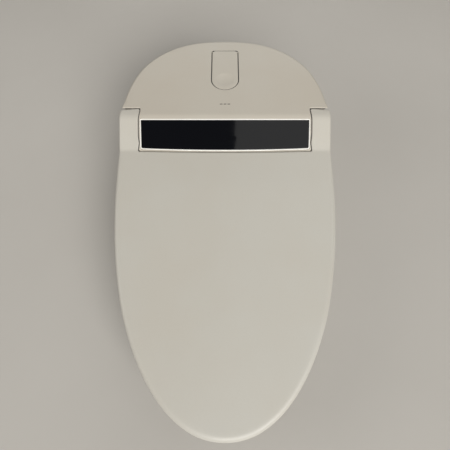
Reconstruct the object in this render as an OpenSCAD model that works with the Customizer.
// Electric bidet seat: seat unit with heated seat ring, closing lid, display strip and wash,
// dryer and deodoriser inside. Millimetres. +Z up, -Y to the front, origin midway between the
// two fixing bolts on the plane of the pan's rim.

/* [Overall] */
// Half of the width of the lid
half_w = 191.5; // [175:0.5:230]
// How far the rear housing reaches behind the fixing bolts
back_y = 216; // [206:1:262]
// How far the tip of the lid reaches in front of the fixing bolts
front_len = 493.5; // [450:0.5:592.5]
// Height of the flat top of the housing over the rim
top_z = 112; // [110:1:120]

/* [Lid] */
// Height of the lid's top where it meets the display strip
lid_back_z = 84; // [83:0.5:85]
// Fall of the lid towards its tip, in mm per mm
lid_fall = 0.1035; // [0.08:0.005:0.11]
// Depth of the lid's edge
lid_edge = 15; // [13:0.5:16]
// Thickness of the lid's skin
lid_skin = 3; // [2.5:0.1:3.5]
// Radius of the steel hinge pins
hinge_pin_r = 5; // [4:0.1:6]

/* [Seat ring] */
// Height of the ring's underside over the rim
ring_low_z = 6; // [5:0.5:8]
// Thickness of the ring's shell
ring_skin = 4; // [3:0.5:5]
// Half of the width of the ring's opening
hole_half_w = 108; // [95:1:120]
// Length of the ring's opening
hole_len = 300; // [270:1:330]

/* [Housing] */
// Wall of the housing and of the tray
wall = 3; // [2.5:0.1:3.6]
// Height of the joint between tray and cover
split_z = 40; // [40:0.5:42]
// Half of the width of the nose between the lid's arms
nose_half_w = 154; // [150:1:156]
// Width of the flap over the foam refill well
flap_w = 50; // [44:1:56]
// Length of the flap over the foam refill well
flap_len = 104; // [96:1:110]

/* [Fixing] */
// Distance between the two fixing bolts
bolt_gap = 140; // [120:1:160]
// Radius of the collars that locate the bolts in the pan's holes
bush_r = 6.5; // [5.5:0.1:7.5]
// How far collar and rubber bush together reach into the pan
bush_len = 34; // [26:1:40]
// Thickness of the mounting plate
plate_t = 6; // [5:0.5:6]

/* [Wash and air] */
// Radius of the nozzle tubes
nozzle_r = 6.5; // [5.5:0.1:7]
// Travel of the nozzles
nozzle_travel = 90; // [60:1:92]
// Slope of the nozzles below the horizontal
nozzle_tilt = 30; // [28:1:32]
// Radius of the inlet spigot, for a half-inch pipe thread
inlet_r = 10.48; // [9:0.01:13]
// Radius of the cord hole in the gland
cord_r = 3.6; // [3:0.1:5]
// Radius of the dryer's blower wheel
wheel_r = 28; // [22:1:34]

/* [Hidden] */
$fn = 48;

// Gaps between neighbours
run_gap = 0.06;      // radial, shaft in its bore
part_gap = 0.5;      // round a flap, button or drawer
nose_gap = 1.5;      // lid to nose
ring_gap = 2;        // lid edge to ring top

// Hinge axis of lid and seat, shared
hinge_y = 9;
hinge_z = top_z - 28;
// Line where the lid meets the display strip
crease_y = -38;
lid_back_y = crease_y - nose_gap;
// The slope ends at its top in a curved band that runs out level at band_y
slope_top = [11, top_z - 3.1];
band_y = 24;
slope_deg = atan((slope_top.y - lid_back_z) / (slope_top.x - crease_y));
slope_len = norm([slope_top.x - crease_y, slope_top.y - lid_back_z]);
band_pts = [slope_top, [15, top_z - 1.5], [19.5, top_z - 0.4], [band_y, top_z]];
nose_y = crease_y + 1;
arm_back_y = 34;
arm_in = nose_half_w + nose_gap;
pocket_r = norm([arm_back_y - hinge_y, top_z - hinge_z]) + 1.5;
pocket_back = hinge_y + pocket_r;
side_start_y = crease_y - 32;
tip_y = -front_len;
unit_half = half_w - 2.5;
tray_y = -36;
tray_low = 1.5;
floor_z = tray_low + wall;
pocket_floor = plate_t + 1 + wall;
plate_half = [bolt_gap / 2 + 50, 25, 35];  // half width, front and rear reach
slide_travel = 50;
wing_z = 48;
hinge_bore = hinge_pin_r + run_gap;
out_exp = 2.4;
lid_exp = 2.1;
well_floor = top_z - 16;

function top_at(y) = lid_back_z + lid_fall * (y - crease_y);
// Half of a superellipse with half-axes a and b, over y from y0 up
function arc_pts(a, b, ex, n, y0 = 0) = let (t0 = asin(pow(y0 / b, ex / 2)))
  [for (i = [0:n]) let (t = t0 + (180 - 2 * t0) * i / n)
    [a * sign(cos(t)) * pow(abs(cos(t)), 2 / ex), b * pow(abs(sin(t)), 2 / ex)]];

// Plan of the housing, inset by d
module unit_plan(d = 0, y0 = tray_y)
  polygon(concat([[unit_half - d, y0 + d]], arc_pts(unit_half - d, back_y - d, out_exp, 64),
    [[-unit_half + d, y0 + d]]));
// Plan of the lid and of the ring under it, inset by d, from the straight rear edge at y1
function lid_pts(d, y1) = concat([[-half_w + d, y1]],
  [for (p = arc_pts(half_w - d, side_start_y - tip_y - d, lid_exp, 64)) [-p.x, side_start_y - p.y]],
  [[half_w - d, y1]]);
module lid_plan(d, y1) polygon(lid_pts(d, y1));
// Plan of the ring's opening, grown by d
hole_back = -122;
function hole_pts(d) = [for (i = [0:55]) let (t = 360 * i / 56, c = cos(t), s = sin(t))
  [(hole_half_w + d) * sign(c) * pow(abs(c), 0.88) * (1 - 0.05 * s),
   hole_back - hole_len / 2 + (hole_len / 2 + d) * sign(s) * pow(abs(s), 0.88)]];
// Sets a plan at height z, level or along the fall of the lid
function level(pts, z) = [for (p = pts) [p.x, p.y, z]];
function leaned(pts, z) = [for (p = pts) [p.x, p.y, z + lid_fall * (p.y - crease_y)]];
// Closed body through rings of equally many points, listed from the lowest to the highest
module loft(rings) {
  n = len(rings[0]);
  m = len(rings);
  polyhedron([for (r = rings) each r], concat(
    [[for (i = [0:n - 1]) i], [for (i = [n - 1:-1:0]) (m - 1) * n + i]],
    [for (j = [0:m - 2], i = [0:n - 1]) let (a = j * n + i, b = j * n + (i + 1) % n)
      each [[a, a + n, b + n], [a, b + n, b]]]));
}
// Extrudes a (y, z) outline along X from x0 to x1, on one or on both sides
module along_x(x0, x1) translate([x0, 0, 0]) rotate([90, 0, 90]) linear_extrude(x1 - x0) children();
module both_sides(x0, x1) for (s = [0, 1]) mirror([s, 0, 0]) along_x(x0, x1) children();
module x_rod(x0, x1, y, z, r) translate([x0, y, z]) rotate([0, 90, 0]) cylinder(h = x1 - x0, r = r);
module both_rods(x0, x1, y, z, r) for (s = [0, 1]) mirror([s, 0, 0]) x_rod(x0, x1, y, z, r);
module box(x, y, z) translate([x[0], y[0], z[0]]) cube([x[1] - x[0], y[1] - y[0], z[1] - z[0]]);
module z_rod(x, y, z0, z1, r) translate([x, y, z0]) cylinder(h = z1 - z0, r = r);
module z_tube(x, y, z0, z1, r, bore) difference() {
  z_rod(x, y, z0, z1, r);
  z_rod(x, y, z0 - 1, z1 + 1, bore);
}
module at_bolts() for (s = [-1, 1]) translate([s * bolt_gap / 2, 0, 0]) children();

// ---- Fixing -------------------------------------------------------------------------------
head_r = bush_r + 2.5;
head_h = 3;
bolt_r = 3;
collar_len = 12;
head_low = plate_t - head_h - 0.5;
module mount_plate() color("dimgray") difference() {
  union() {
    box([-plate_half[0], plate_half[0]], [-plate_half[1], plate_half[2]], [0, plate_t - 1.5]);
    for (s = [-1, 1]) box([s * (plate_half[0] - 10) - 10, s * (plate_half[0] - 10) + 10],
      [-plate_half[1], plate_half[2]], [0, plate_t]);
    at_bolts() z_rod(0, 0, 0, plate_t, 14);
  }
  at_bolts() {
    z_rod(0, 0, -1, plate_t + 1, bush_r + 0.3);
    z_rod(0, 0, head_low, plate_t + 1, head_r + 0.5);
  }
  for (x = [-40, 0, 40]) box([x - 12, x + 12], [-12, 20], [1.5, plate_t]);
}
bolt_low = -bush_len - 14;
module mount_bolts() color("silver") at_bolts() difference() {
  union() {
    z_rod(0, 0, head_low, head_low + head_h, head_r);
    z_rod(0, 0, -collar_len, 0, bush_r);
    z_rod(0, 0, -1, head_low + 0.5, bush_r - 0.4);
    z_rod(0, 0, bolt_low, -collar_len + 1, bolt_r);
  }
  translate([0, 0, plate_t - 2.2]) cylinder(h = 3, r = 2.3, $fn = 6);
}
module expansion_bushes() color("black")
  at_bolts() z_tube(0, 0, -bush_len, -collar_len, bush_r - 0.2, bolt_r + run_gap);
module taper_nuts() color("goldenrod") at_bolts() difference() {
  translate([0, 0, -bush_len - 12]) cylinder(h = 12, r1 = bush_r - 1.5, r2 = bush_r - 0.4);
  z_rod(0, 0, -bush_len - 13, 1, bolt_r + run_gap);
}

// ---- Tray and cover -----------------------------------------------------------------------
pocket_rear = plate_half[2] + slide_travel + 4;
screw_spots = [[140, -20], [unit_half - 50, back_y - 66], [50, back_y - 17]];
screw_r = 2;
module screw_places() for (s = [-1, 1], p = screw_spots) translate([s * p.x, p.y, 0]) children();
mouth_half = 26;
mouth_z = [12, split_z + 1];
duct_x = [-100, -48];
duct_z = [pocket_floor + 0.5, 34];
filter_y = [60, 100];
filter_z = [12, 36];
button_y = [75, 95];
button_z = [14, 30];
lamp_x = [60, 80];
lamp_z = [16, 24];
inlet_at = [105, 150];
gland_at = [-75, 168];
module wing_side(d) polygon([[tray_y + d, tray_low + d], [tray_y + d, 38 - d], [-16 + d, wing_z - d],
  [pocket_back - 0.3 - d, wing_z - d], [pocket_back - 0.3 - d, tray_low + d]]);
module base_tray() color("gainsboro") difference() {
  union() {
    difference() {
      union() {
        translate([0, 0, tray_low]) linear_extrude(split_z - tray_low) unit_plan();
        intersection() {
          both_sides(nose_half_w + 1, unit_half) wing_side(0);
          linear_extrude(top_z) unit_plan();
        }
      }
      difference() {
        translate([0, 0, floor_z]) linear_extrude(split_z) unit_plan(wall);
        box([-plate_half[0] - 2 - wall, plate_half[0] + 2 + wall], [tray_y, pocket_rear + wall],
          [0, pocket_floor]);
        both_sides(nose_half_w + 1, unit_half) wing_side(0);
      }
      both_sides(nose_half_w + 1 + wall, unit_half - wall) wing_side(wall);
      for (s = [0, 1]) mirror([s, 0, 0]) box([nose_half_w - 2, nose_half_w + 2 + wall],
        [tray_y + wall, pocket_back - 1 - wall], [floor_z, split_z - 3]);
      box([-plate_half[0] - 2, plate_half[0] + 2], [-plate_half[1] - 1, pocket_rear],
        [0, pocket_floor - wall]);
    }
    screw_places() z_rod(0, 0, floor_z - 0.5, split_z - 0.2, 5);
  }
  screw_places() {
    z_rod(0, 0, tray_low - 1, split_z + 1, screw_r + run_gap);
    z_rod(0, 0, tray_low - 1, tray_low + 2.5, 4.3);
  }
  box([-mouth_half, mouth_half], [tray_y - 1, tray_y + wall + 1], mouth_z);
  box(duct_x, [tray_y - 1, tray_y + wall + 1], duct_z);
  x_rod(duct_x[0] - 1.8, duct_x[1] + 1.8, flap_axis.x, flap_axis.y, 0.95);
  box([-half_w, -unit_half + 45], [filter_y[0] - part_gap, filter_y[1] + part_gap],
    [filter_z[0] - part_gap, filter_z[1] + part_gap]);
  box([unit_half - 30, half_w], [button_y[0] - part_gap, button_y[1] + part_gap],
    [button_z[0] - part_gap, button_z[1] + part_gap]);
  box(lamp_x, [tray_y - 1, tray_y + wall + 1], lamp_z);
  z_rod(inlet_at.x, inlet_at.y, 0, 20, inlet_r + 0.4);
  z_rod(gland_at.x, gland_at.y, 0, 20, 7);
}
cover_low = split_z + 0.2;
module nose_side(d, low) let (sunk = d > 0 ? 2 * d + 0.8 : 0)
  polygon(concat([[nose_y + d, low], [nose_y + d, lid_back_z + (d + 1) * tan(slope_deg) - sunk]],
    [for (p = band_pts) p - [0, p.x < band_y - 1 ? sunk : d]], [[60, top_z - d], [60, low]]));
// Space that the lid's arms swing through, grown by d
module arm_space(d = 0) {
  both_rods(nose_half_w - d, half_w + 5, hinge_y, hinge_z, pocket_r + d);
  both_sides(nose_half_w - d, half_w + 5)
    polygon([[tray_y - 20, 0], [tray_y - 20, top_z + 20], [hinge_y, top_z + 20], [hinge_y, hinge_z],
      [pocket_back + d, hinge_z], [pocket_back + d, 0]]);
}
function block_pts(d) = arc_pts(unit_half - d, back_y - d, out_exp, 64, band_y);
edge_r = 4;
module rear_block(d, low) loft([level(block_pts(d), low), level(block_pts(d), top_z - d - edge_r),
  level(block_pts(d + 0.3 * edge_r), top_z - d - 0.3 * edge_r), level(block_pts(d + edge_r), top_z - d)]);
// D-shaped plan of the refill flap, grown by d: straight at the rear, round at the front
flap_back = back_y - 30;
module flap_plan(d = 0) {
  r = flap_w / 2;
  translate([0, flap_back - flap_len + r]) circle(r = r + d);
  translate([-r - d, flap_back - flap_len + r]) square([flap_w + 2 * d, flap_len - r + d]);
}
flap_gap = 1.5;
flap_pin = [flap_back - 1.1, top_z - 1.9];
module rear_cover() color("lightgray") difference() {
  union() {
    rear_block(0, cover_low);
    along_x(-nose_half_w, nose_half_w) nose_side(0, cover_low);
  }
  difference() {
    union() {
      rear_block(wall, cover_low - 1);
      along_x(-nose_half_w + wall, nose_half_w - wall) nose_side(wall, 0);
    }
    arm_space(wall);
  }
  arm_space();
  both_rods(hinge_x0 - 1, half_w, hinge_y, hinge_z, hinge_pin_r + 1);
  on_slope() translate([0, 0, -3.2]) linear_extrude(12) glass_plan(2.6);
  translate([0, 0, top_z - 20]) linear_extrude(40) flap_plan(flap_gap);
  x_rod(-flap_w / 2 - 3.5, flap_w / 2 + 3.5, flap_pin.x, flap_pin.y, 1.0);
}
module tray_pads() color("dimgray") for (s = [-1, 1], p = [[unit_half - 22, 0], [118, back_y - 51]])
  z_rod(s * p.x, p.y, 0, tray_low, 8);
module case_screws() color("silver") screw_places() difference() {
  union() {
    z_rod(0, 0, tray_low + 0.3, tray_low + 2.5, 3.8);
    z_rod(0, 0, tray_low + 1, split_z - 4, screw_r);
  }
  translate([0, 0, tray_low]) box([-2.2, 2.2], [-0.5, 0.5], [0, 1.3]);
  translate([0, 0, tray_low]) box([-0.5, 0.5], [-2.2, 2.2], [0, 1.3]);
}

// ---- Hinge --------------------------------------------------------------------------------
hinge_x0 = 119;
block_x1 = nose_half_w - wall - 1;
module hinge_blocks() color("slategray") difference() {
  both_sides(hinge_x0, block_x1)
    polygon([[hinge_y - 15, hinge_z - 14], [hinge_y - 15, hinge_z + 7], [hinge_y - 9, hinge_z + 9.5],
      [hinge_y + 15, hinge_z + 9.5], [hinge_y + 15, hinge_z - 14]]);
  both_rods(hinge_x0 - 1, block_x1 + 1, hinge_y, hinge_z, hinge_bore);
}
pin_end = half_w - 3.5;
module hinge_pins() color("silver")
  both_rods(hinge_x0 + 0.5, pin_end - 0.5, hinge_y, hinge_z, hinge_pin_r);
damper_r = 9;
module damper(s) mirror([s < 0 ? 1 : 0, 0, 0]) {
  x_rod(60, hinge_x0 - 4, hinge_y, hinge_z, damper_r);
  x_rod(hinge_x0 - 4, hinge_x0 + 0.2, hinge_y, hinge_z, 4);
  box([72, 84], [hinge_y - 12, hinge_y + 12], [hinge_z - 12, hinge_z - 7]);
}
module lid_damper() color("darkslategray") damper(-1);
module seat_damper() color("gray") damper(1);

// ---- Display ------------------------------------------------------------------------------
glass_half = 150;
glass_top = slope_len - 0.4;
module on_slope() translate([0, crease_y, lid_back_z]) rotate([slope_deg, 0, 0]) children();
// Plan of the glass on the slope, grown by d: front edge bowed, lower corners rounded
module glass_plan(d) polygon(concat(
  [[-glass_half - d, glass_top + d], [glass_half + d, glass_top + d]],
  [for (i = [0:16]) let (t = i / 16, x = glass_half - 2 + d - (2 * glass_half - 4 + 2 * d) * t,
      e = min(1, (glass_half - 2 + d - abs(x)) / 8))
    [x, 3.4 - d + 5 * pow(1 - e, 2.2) + 1.2 * pow(x / glass_half, 2)]]));
module display_trim() color("whitesmoke") on_slope() translate([0, 0, -3]) difference() {
  linear_extrude(3.2) glass_plan(2.2);
  translate([0, 0, -1]) linear_extrude(6) glass_plan(0.1);
}
module display_glass() color("black") on_slope() translate([0, 0, -3]) linear_extrude(2.8) glass_plan(0);
module display_board() color("darkgreen") on_slope() {
  translate([0, 0, -10.2]) box([-105, 105], [16, 46], [0, 1.6]);
  translate([0, 0, -8.6]) {
    box([-70, 70], [22, 40], [0, 1.2]);
    for (x = [-92, -84, 84, 92]) box([x - 2.5, x + 2.5], [26, 31], [0, 1]);
  }
  translate([0, 0, -14]) box([-20, 4], [20, 30], [0, 4]);
}

// ---- Nozzles ------------------------------------------------------------------------------
nozzle_x = 12;
nozzle_at = [-34, 26];
rack_top = nozzle_r + 3.2;
pitch = PI;
gear_teeth = 12;
gear_r = gear_teeth / 2;
pinion_at = [24, rack_top + gear_r];
nozzle_end = pinion_at.x + nozzle_travel - 2;
module on_nozzle() translate([0, nozzle_at.x, nozzle_at.y]) rotate([nozzle_tilt, 0, 0]) children();
module y_rod(x, y0, y1, z, r) translate([x, y1, z]) rotate([90, 0, 0]) cylinder(h = y1 - y0, r = r);
module nozzle_cradle() color("lightgray") on_nozzle() difference() {
  union() {
    box([-24, 24], [5, 118], [-11, -8]);
    for (y = [5, 68]) box([-24, 24], [y, y + 9], [-11, 3]);
    box([-24, 24], [115, 118], [-11, 6]);
    for (s = [-1, 1]) box([s * 23 - 1, s * 23 + 1], [5, 118], [-11, 3]);
  }
  for (s = [-1, 1]) y_rod(s * nozzle_x, 0, 110, 0, nozzle_r + run_gap);
  for (s = [-1, 1]) box([s * nozzle_x - 4, s * nozzle_x + 4], [0, 114.9], [0, 12]);
}
module nozzle_body(s) on_nozzle() {
  difference() {
    union() {
      y_rod(s * nozzle_x, 13, nozzle_end, 0, nozzle_r);
      box([s * nozzle_x - 2.5, s * nozzle_x + 2.5], [18, nozzle_end], [0, rack_top - 1.1]);
    }
    y_rod(s * nozzle_x, 10, nozzle_end + 1, 0, 3.5);
  }
  // Rack teeth: a gap stands under the pinion's lowest tooth at rest
  for (i = [-1:27])
    let (y = pinion_at.x + (i + 0.5) * pitch)
      if (y < nozzle_end - 1) along_x(s * nozzle_x - 2.5, s * nozzle_x + 2.5)
        polygon([[y - 0.9, rack_top - 1.2], [y - 0.35, rack_top + 0.7], [y + 0.35, rack_top + 0.7],
          [y + 0.9, rack_top - 1.2]]);
}
module nozzle_tip(s) on_nozzle() difference() {
  union() {
    y_rod(s * nozzle_x, 3.5, 13, 0, nozzle_r);
    translate([s * nozzle_x, 3.5, 0]) sphere(r = nozzle_r);
  }
  y_rod(s * nozzle_x, 4, 14, 0, 3.5);
  for (y = [5, 8.5]) translate([s * nozzle_x, y, 0]) cylinder(h = 10, r = 0.8);
}
module pinion(s) on_nozzle() translate([0, pinion_at.x, pinion_at.y]) {
  x_rod(s * nozzle_x - 2.2, s * nozzle_x + 2.2, 0, 0, gear_r - 1.3);
  for (i = [0:gear_teeth - 1]) rotate([360 * i / gear_teeth, 0, 0])
    along_x(s * nozzle_x - 2.2, s * nozzle_x + 2.2)
      polygon([[-0.75, -gear_r + 1.7], [-0.7, -gear_r + 0.6], [-0.3, -gear_r - 0.7],
        [0.3, -gear_r - 0.7], [0.7, -gear_r + 0.6], [0.75, -gear_r + 1.7]]);
  x_rod(min(s * nozzle_x, s * 24), max(s * nozzle_x, s * 24), 0, 0, 2);
}
module rear_nozzle() color("white") nozzle_body(-1);
module front_nozzle() color("white") nozzle_body(1);
module rear_nozzle_tip() color("lightblue") nozzle_tip(-1);
module front_nozzle_tip() color("lightpink") nozzle_tip(1);
module rear_pinion() color("ivory") pinion(-1);
module front_pinion() color("ivory") pinion(1);
module nozzle_motors() color("silver") on_nozzle() for (s = [0, 1]) mirror([s, 0, 0]) difference() {
  union() {
    x_rod(20, 36, pinion_at.x, pinion_at.y, 11);
    box([20, 21.5], [pinion_at.x - 4, pinion_at.x + 15], [pinion_at.y - 4, pinion_at.y + 4]);
  }
  x_rod(19, 30, pinion_at.x, pinion_at.y, 2 + run_gap);
}

// ---- Water --------------------------------------------------------------------------------
inlet_low = -18;
module inlet_fitting() color("goldenrod") difference() {
  union() {
    z_rod(inlet_at.x, inlet_at.y, inlet_low, 0, inlet_r);
    z_rod(inlet_at.x, inlet_at.y, -1, floor_z + 0.5, inlet_r - 0.8);
    translate([inlet_at.x, inlet_at.y, floor_z]) cylinder(h = 6, r = 15, $fn = 6);
    z_rod(inlet_at.x, inlet_at.y, floor_z, 28, 9);
  }
  z_rod(inlet_at.x, inlet_at.y, inlet_low - 1, 29, 6);
}
module inlet_strainer() color("silver") difference() {
  z_rod(inlet_at.x, inlet_at.y, inlet_low + 2, 8, 5.9);
  z_rod(inlet_at.x, inlet_at.y, inlet_low + 3, 9, 4.9);
  for (i = [0:5]) translate([inlet_at.x, inlet_at.y, 0]) rotate([0, 0, 60 * i])
    for (z = [-12:5:3]) translate([3, -1.2, z]) cube([5, 2.4, 3]);
}
valve_z = 28;
plunger_r = 4;
module solenoid_body() color("dimgray") difference() {
  union() {
    box([inlet_at.x - 22, inlet_at.x + 16], [inlet_at.y - 14, inlet_at.y + 14], [valve_z, valve_z + 24]);
    z_rod(inlet_at.x, inlet_at.y, valve_z + 23, valve_z + 28, 14);
  }
  z_rod(inlet_at.x, inlet_at.y, valve_z + 8, valve_z + 40, plunger_r + run_gap);
  z_rod(inlet_at.x, inlet_at.y, valve_z - 1, valve_z + 9, 3);
  x_rod(inlet_at.x - 23, inlet_at.x, inlet_at.y, valve_z + 12, 3);
}
module solenoid_coil() color("firebrick")
  z_tube(inlet_at.x, inlet_at.y, valve_z + 28, valve_z + 56, 12, plunger_r + run_gap);
module solenoid_plunger() color("silver")
  z_rod(inlet_at.x, inlet_at.y, valve_z + 8.2, valve_z + 46, plunger_r);
sensor_x = [inlet_at.x - 46, inlet_at.x - 22];
module flow_sensor() color("dimgray") difference() {
  x_rod(sensor_x[0], sensor_x[1], inlet_at.y, valve_z + 12, 11);
  x_rod(sensor_x[0] + 4, sensor_x[1] - 4, inlet_at.y, valve_z + 12, 8.5);
  x_rod(sensor_x[0] - 1, sensor_x[1] + 1, inlet_at.y, valve_z + 12, 1.5 + run_gap);
}
module flow_turbine() color("white") {
  x_rod(sensor_x[0] + 1, sensor_x[1] - 1, inlet_at.y, valve_z + 12, 1.5);
  translate([sensor_x[0] + 6, inlet_at.y, valve_z + 12]) {
    x_rod(0, 12, 0, 0, 3);
    for (i = [0:5]) rotate([60 * i, 0, 0]) box([0, 12], [-0.6, 0.6], [2, 8]);
  }
}
tank_x = [50, 126];
tank_y = [60, 112];
tank_z = [pocket_floor + 1, 72];
module heater_tank() color("beige") difference() {
  box(tank_x, tank_y, tank_z);
  box([tank_x[0] + 3, tank_x[1] - 3], [tank_y[0] + 3, tank_y[1] - 3], [tank_z[0] + 3, tank_z[1] - 3]);
  for (x = [66, 80, 96, 110]) z_rod(x, 86, tank_z[1] - 5, tank_z[1] + 1, 3 + run_gap);
}
module heater_element() color("silver") for (x = [66, 96]) {
  for (dx = [0, 14]) z_rod(x + dx, 86, tank_z[0] + 10, tank_z[1] + 5, 3);
  x_rod(x, x + 14, 86, tank_z[0] + 10, 3);
  for (dx = [0, 14]) translate([x + dx, 86, tank_z[0] + 10]) sphere(r = 3);
}
diverter_at = [78, 20];
module diverter_valve() color("whitesmoke") {
  z_rod(diverter_at.x, diverter_at.y, pocket_floor + 0.5, 46, 16);
  x_rod(54, 66, diverter_at.y, 24, 5);
}
module diverter_motor() color("silver") {
  z_rod(diverter_at.x, diverter_at.y, 46, 64, 14);
  box([diverter_at.x - 19, diverter_at.x + 19], [diverter_at.y - 4, diverter_at.y + 4], [46, 47.5]);
}
pump_at = [unit_half - 38, 60];
module air_pump() color("gray") {
  y_rod(pump_at.x, 55, 100, pump_at.y, 16);
  y_rod(pump_at.x, 100, 108, pump_at.y, 4);
  box([pump_at.x - 10, pump_at.x + 10], [60, 95], [pump_at.y - 20, pump_at.y - 12]);
}
hose_r = 4;
function unit(v) = v / norm(v);
// Round hose along a route: a ring of twelve points square to the route at each of its points
module hose(pts) {
  n = 12;
  last = len(pts) - 1;
  way = [for (i = [0:last]) unit(unit(pts[min(i + 1, last)] - pts[max(i - 1, 0)])
    + unit(pts[max(i, 1)] - pts[max(i, 1) - 1]))];
  loft([for (i = [0:last]) let (u = unit(cross(way[i], [0.31, 0.17, 1])), w = cross(way[i], u))
    [for (k = [0:n - 1]) pts[i] + hose_r * (cos(360 * k / n) * u + sin(360 * k / n) * w)]]);
}
module water_hoses() color("lightsteelblue") {
  hose([[sensor_x[0], inlet_at.y, 40], [54, inlet_at.y, 40], [54, 130, 40], [64, 124, 50],
    [64, tank_y[1], 50]]);
  hose([[100, tank_y[0], 30], [100, 50, 30], [94, 42, 30], [86.5, 37.5, 30]]);
  hose([[pump_at.x, 108, pump_at.y], [pump_at.x, 116, pump_at.y], [110, 120, 60], [110, tank_y[1], 60]]);
  hose([[53.8, diverter_at.y, 24], [46, diverter_at.y, 24.5], [36, 26, 34], [30, 46, 58],
    [30, 68, 80], [22, 77, 88], [14, 76, 90], [12, 71, 87]]);
}

// ---- Air ----------------------------------------------------------------------------------
blower_at = [-92, 98];
blower_z = [pocket_floor + 1, 56];
volute_r = wheel_r + 12;
module blower_housing() color("darkgray") difference() {
  z_rod(blower_at.x, blower_at.y, blower_z[0], blower_z[1], volute_r);
  z_rod(blower_at.x, blower_at.y, blower_z[0] + 2, blower_z[1] - 2, volute_r - 2);
  z_rod(blower_at.x, blower_at.y, blower_z[1] - 3, blower_z[1] + 1, 4);
  for (i = [0:7]) translate([blower_at.x, blower_at.y, 0]) rotate([0, 0, 45 * i])
    z_rod(wheel_r - 6, 0, blower_z[1] - 3, blower_z[1] + 1, 4);
  box([blower_at.x, duct_x[1] - 4], [blower_at.y - volute_r - 1, blower_at.y - wheel_r - 4],
    [duct_z[0] + 3, duct_z[1] - 3]);
}
module blower_motor() color("black")
  z_tube(blower_at.x, blower_at.y, blower_z[1] + 0.2, blower_z[1] + 22, 15, 2.5 + run_gap);
module blower_wheel() color("white") translate([blower_at.x, blower_at.y, 0]) {
  z_rod(0, 0, blower_z[0] + 5, blower_z[1] + 18, 2.5);
  z_rod(0, 0, blower_z[0] + 5, blower_z[0] + 7, wheel_r);
  z_rod(0, 0, blower_z[0] + 6, blower_z[1] - 14, 7);
  for (i = [0:15]) rotate([0, 0, 22.5 * i]) translate([wheel_r - 9, 0, blower_z[0] + 6])
    rotate([0, 0, 35]) translate([0, -0.6, 0]) cube([8, 1.2, 22]);
}
module dryer_duct() color("darkgray") difference() {
  box([duct_x[0] + 1, duct_x[1] - 1], [tray_y + wall + 1, blower_at.y - volute_r - 0.3],
    [duct_z[0], duct_z[1] + 1]);
  box([duct_x[0] + 3, duct_x[1] - 3], [tray_y, blower_at.y], [duct_z[0] + 2, duct_z[1] - 1]);
}
module dryer_heater() color("peru") difference() {
  box([duct_x[0] + 3.2, duct_x[1] - 3.2], [10, 28], [duct_z[0] + 2.2, duct_z[1] - 1.2]);
  for (i = [0:6]) box([duct_x[0] + 6 + 6 * i, duct_x[0] + 9.5 + 6 * i], [9, 29],
    [duct_z[0] + 4.5, duct_z[1] - 3.5]);
}
flap_axis = [tray_y + 1.9, duct_z[1] - 2.4];
module dryer_flap() color("white") {
  box([duct_x[0] + part_gap, duct_x[1] - part_gap], [tray_y, tray_y + 1.8],
    [duct_z[0] + part_gap, flap_axis.y]);
  x_rod(duct_x[0] + part_gap, duct_x[1] - part_gap, flap_axis.x, flap_axis.y, 1.8);
  x_rod(duct_x[0] - 1.5, duct_x[1] + 1.5, flap_axis.x, flap_axis.y, 0.9);
}
sleeve_x = [-unit_half + 8, -unit_half + 54];
module filter_sleeve() color("darkgray") difference() {
  intersection() {
    box(sleeve_x, [filter_y[0] - 2, filter_y[1] + 1.2], [filter_z[0] - 2, filter_z[1] + 2]);
    linear_extrude(top_z) unit_plan(wall + 0.2);
  }
  box([sleeve_x[0] - 1, sleeve_x[1] - 1.5], [filter_y[0] - 0.5, filter_y[1] + 0.3],
    [filter_z[0] - 0.4, filter_z[1] + 0.4]);
  translate([fan_at.x, 0, filter_z[0] + 12]) y_rod(0, 90, 110, 0, 9);
}
module filter_cartridge() color("whitesmoke") difference() {
  intersection() {
    box([-half_w, sleeve_x[1] - 2.5], filter_y, filter_z);
    translate([0, 0, filter_z[0] - 1]) linear_extrude(filter_z[1]) unit_plan(0.1);
  }
  box([sleeve_x[0] + 6, sleeve_x[1] - 5], [filter_y[0] + 3, filter_y[1] - 3],
    [filter_z[0] + 2, filter_z[1] + 1]);
}
module filter_carbon() color("black")
  box([sleeve_x[0] + 6.2, sleeve_x[1] - 5.2], [filter_y[0] + 3.2, filter_y[1] - 3.2],
    [filter_z[0] + 2.2, filter_z[1] - 0.5]);
fan_at = [-unit_half + 38, filter_y[1] + 2];
module deodoriser_frame() color("black") difference() {
  box([fan_at.x - 17, fan_at.x + 17], [fan_at.y, fan_at.y + 10], [12, 46]);
  y_rod(fan_at.x, fan_at.y - 1, fan_at.y + 7, 29, 15.5);
  y_rod(fan_at.x, fan_at.y - 1, fan_at.y + 11, 29, 1.5 + run_gap);
  for (i = [0:5]) translate([fan_at.x, 0, 29]) rotate([0, 60 * i, 0])
    y_rod(10, fan_at.y, fan_at.y + 11, 0, 3.2);
}
module deodoriser_fan() color("dimgray") translate([fan_at.x, 0, 29]) {
  y_rod(0, fan_at.y + 1, fan_at.y + 9.5, 0, 1.5);
  y_rod(0, fan_at.y + 1, fan_at.y + 6, 0, 5);
  for (i = [0:6]) rotate([0, 360 * i / 7, 0]) translate([4, fan_at.y + 3.5, 0]) rotate([35, 0, 0])
    box([0, 10.5], [-0.5, 0.5], [-2.5, 2.5]);
}

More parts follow.
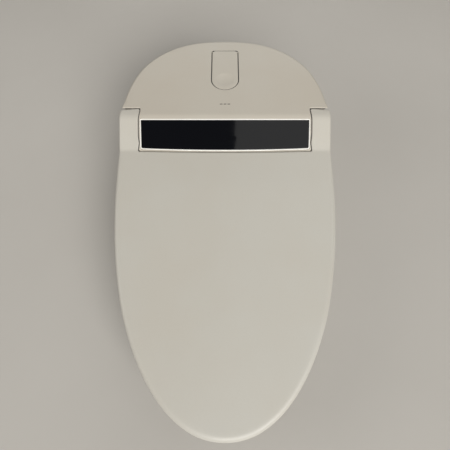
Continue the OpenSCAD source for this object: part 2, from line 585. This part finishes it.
// ---- Electrics ----------------------------------------------------------------------------
board_z = 12;
board_y = [96, back_y - 30];
module control_board() color("darkgreen") {
  box([-44, 44], board_y, [board_z, board_z + 1.6]);
  for (x = [-38, 38], y = [board_y[0] + 6, board_y[1] - 6]) z_rod(x, y, floor_z, board_z + 0.1, 3);
  for (i = [0:3]) box([18, 34], [board_y[0] + 14 + 18 * i, board_y[0] + 26 + 18 * i],
    [board_z + 1.5, board_z + 13]);
  for (i = [0:2]) z_rod(8, board_y[0] + 20 + 22 * i, board_z + 1.5, board_z + 20, 5);
}
module power_module() color("black")
  box([-40, -6], [board_y[0] + 14, board_y[1] - 14], [board_z + 1.7, board_z + 28]);
module cord_gland() color("black") difference() {
  union() {
    z_rod(gland_at.x, gland_at.y, -8, 14, 6.8);
    z_rod(gland_at.x, gland_at.y, floor_z, floor_z + 3, 10);
    z_rod(gland_at.x, gland_at.y, tray_low - 1.4, tray_low, 9);
  }
  z_rod(gland_at.x, gland_at.y, -9, 15, cord_r);
}
module night_light() color("lightyellow") {
  box([lamp_x[0] + 0.1, lamp_x[1] - 0.1], [tray_y, tray_y + wall + 0.2], [lamp_z[0] + 0.1, lamp_z[1] - 0.1]);
  box([lamp_x[0] - 3, lamp_x[1] + 3], [tray_y + wall + 0.2, tray_y + wall + 4],
    [lamp_z[0] - 2, lamp_z[1] + 3]);
}
button_x = unit_half - 12;
module release_button() color("whitesmoke") {
  intersection() {
    box([button_x, half_w], button_y, button_z);
    translate([0, 0, button_z[0] - 1]) linear_extrude(40) unit_plan(0.2);
  }
  x_rod(button_x - 22, button_x + 1, (button_y[0] + button_y[1]) / 2, 22, 3.5);
}

// ---- Foam refill --------------------------------------------------------------------------
neck_y = flap_back - flap_len + 30;
neck_r = 13;
module foam_tank() color("aliceblue") difference() {
  union() {
    box([-38, 38], [flap_back - flap_len + 4, flap_back - 6], [52, well_floor - 3]);
    z_rod(0, neck_y, well_floor - 4, well_floor + 5, neck_r);
  }
  box([-36, 36], [flap_back - flap_len + 6, flap_back - 8], [54, well_floor - 5]);
  z_rod(0, neck_y, well_floor - 6, well_floor + 6, neck_r - 2.5);
}
module refill_well() color("silver") difference() {
  translate([0, 0, well_floor - 2]) linear_extrude(top_z - wall - 1.6 - well_floor) flap_plan(3);
  translate([0, 0, well_floor]) linear_extrude(30) flap_plan(1);
  z_rod(0, neck_y, well_floor - 3, well_floor + 1, neck_r + 0.2);
}
dimple_r = 17;
dimple_deep = 1.6;
ball_r = (pow(dimple_r, 2) + pow(dimple_deep, 2)) / (2 * dimple_deep);
module refill_flap() color("whitesmoke") difference() {
  union() {
    translate([0, 0, top_z - 3.4]) linear_extrude(3.4) flap_plan();
    x_rod(-flap_w / 2 - 3, flap_w / 2 + 3, flap_pin.x, flap_pin.y, 0.94);
  }
  // Finger dimple towards the round end
  translate([0, flap_back - flap_len + flap_w / 2, top_z - dimple_deep + ball_r])
    sphere(r = ball_r, $fn = 96);
}

// ---- Seat ---------------------------------------------------------------------------------
ring_in = 3;
// Outer body of the ring, inset by d all round
ring_top = lid_back_z - lid_edge - ring_gap;
ring_back = crease_y - 6;
module ring_outer(d, low) loft([level(lid_pts(ring_in + 2 + d, ring_back - d), low),
  leaned(lid_pts(ring_in + d, ring_back - d), ring_top - 7 - d),
  leaned(lid_pts(ring_in + 2 + d, ring_back - 1.5 - d), ring_top - 2 - d),
  leaned(lid_pts(ring_in + 8 + d, ring_back - 6 - d), ring_top - d)]);
module ring_inner(d, low) loft([level(hole_pts(d), low - 2), leaned(hole_pts(d), ring_top - 9),
  leaned(hole_pts(d + 3), ring_top - 3), leaned(hole_pts(d + 10), ring_top + 0.5)]);
beam_z = 36;
arm_x = [arm_in + 5.5, half_w - 6.5];
eye_r = 16;
foot_r = 34;
// Side outline of the seat's arms: eye, lower guard and neck down to the ring
module arm_side() {
  translate([hinge_y, hinge_z]) circle(r = eye_r);
  intersection() {
    translate([hinge_y, hinge_z]) circle(r = foot_r);
    polygon([[hinge_y, hinge_z], [hinge_y - 60, hinge_z - 4], [hinge_y - 60, hinge_z - 44],
      [hinge_y - 40, hinge_z - 44]]);
  }
  polygon([[hinge_y - 9, hinge_z + 10], [-46, 62], [-62, 56], [-62, 34], [-44, 38], [-20, 58],
    [hinge_y - 9, hinge_z - 13]]);
}
module seat_shell() color("whitesmoke") difference() {
  union() {
    difference() {
      ring_outer(0, ring_low_z + 3.2);
      difference() {
        ring_outer(ring_skin, ring_low_z + 1);
        ring_inner(ring_skin, ring_low_z);
        both_sides(arm_x[0] - 4, arm_x[1] + 1) polygon([[-70, 0], [-70, 80], [-40, 80], [-40, 0]]);
      }
      ring_inner(0, ring_low_z);
      box([-128, 128], [-114, 0], [0, beam_z]);
    }
    both_sides(arm_x[0], arm_x[1]) arm_side();
  }
  both_rods(arm_x[0] - 1, arm_x[1] + 1, hinge_y, hinge_z, hinge_bore);
}
module seat_base() color("gainsboro") difference() {
  translate([0, 0, ring_low_z]) linear_extrude(3) lid_plan(ring_in + 2.5, ring_back - 1);
  translate([0, 0, ring_low_z - 1]) linear_extrude(5) polygon(hole_pts(0.5));
  box([-128.2, 128.2], [-114.2, 0], [0, beam_z]);
}
module seat_bumpers() color("lightgray") for (s = [-1, 1], p = [[146, -150], [117, -345]])
  translate([s * p.x, p.y, 0]) linear_extrude(ring_low_z) {
    square([14, 34], center = true);
    for (y = [-17, 17]) translate([0, y]) circle(r = 7);
  }

// ---- Lid ----------------------------------------------------------------------------------
// Closed body of the lid, inset by d, with its lowest edge low under the top
module lid_body(d, low) loft([leaned(lid_pts(d, lid_back_y - d - 0.4), lid_back_z - low),
  leaned(lid_pts(d, lid_back_y - d), lid_back_z - 7 - d),
  leaned(lid_pts(d + 1, lid_back_y - d - 0.2), lid_back_z - 3.5 - d),
  leaned(lid_pts(d + 3.5, lid_back_y - d - 0.6), lid_back_z - 1.2 - d),
  leaned(lid_pts(d + 9, lid_back_y - d - 2), lid_back_z - d)]);
arm_front = side_start_y + 4;
arm_low = top_z - 30;
// Side outline of the lid's arms, with d taken off the top and the rear, low side open by drop
module lid_arm_side(d, drop) polygon(concat([[arm_front, top_at(arm_front) - d - 0.6],
  [crease_y, lid_back_z - d - 0.2]], [for (p = band_pts) p - [0, d]], [[arm_back_y - d, top_z - d],
  [arm_back_y - d, arm_low - drop], [-14, 66 - drop], [arm_front, top_at(arm_front) - lid_edge - drop]]));
module lid_panel() color("whitesmoke") difference() {
  union() {
    lid_body(0, lid_edge);
    both_sides(arm_in, half_w) lid_arm_side(0, 0);
  }
  lid_body(lid_skin, lid_edge + 4);
  both_sides(arm_x[0] - 1, arm_x[1] + 1) lid_arm_side(lid_skin, 30);
  both_rods(arm_in - 1, pin_end, hinge_y, hinge_z, hinge_bore);
}
liner_low = lid_back_z - lid_edge + 0.5;
module lid_liner() color("white") difference() {
  union() {
    loft([leaned(lid_pts(lid_skin + 0.3, lid_back_y - lid_skin - 0.8), liner_low),
      leaned(lid_pts(lid_skin + 0.3, lid_back_y - lid_skin - 0.8), liner_low + 2)]);
    for (s = [-1, 1], p = [[130, -130], [95, -400]])
      z_rod(s * p.x, p.y, top_at(p.y) - lid_edge - 1.2, top_at(p.y) - lid_edge + 1.5, 7);
  }
  for (s = [0, 1]) mirror([s, 0, 0]) box([arm_in - 1, half_w], [-80, 0], [0, 120]);
}

mount_plate();
mount_bolts();
expansion_bushes();
taper_nuts();
base_tray();
rear_cover();
tray_pads();
case_screws();
hinge_blocks();
hinge_pins();
lid_damper();
seat_damper();
display_trim();
display_glass();
display_board();
nozzle_cradle();
nozzle_motors();
rear_pinion();
front_pinion();
rear_nozzle();
rear_nozzle_tip();
front_nozzle();
front_nozzle_tip();
inlet_fitting();
inlet_strainer();
solenoid_body();
solenoid_coil();
solenoid_plunger();
flow_sensor();
flow_turbine();
heater_tank();
heater_element();
diverter_valve();
diverter_motor();
air_pump();
water_hoses();
blower_housing();
blower_motor();
blower_wheel();
dryer_duct();
dryer_heater();
dryer_flap();
filter_sleeve();
filter_cartridge();
filter_carbon();
deodoriser_frame();
deodoriser_fan();
control_board();
power_module();
cord_gland();
night_light();
foam_tank();
refill_well();
refill_flap();
release_button();
seat_shell();
seat_base();
seat_bumpers();
lid_panel();
lid_liner();
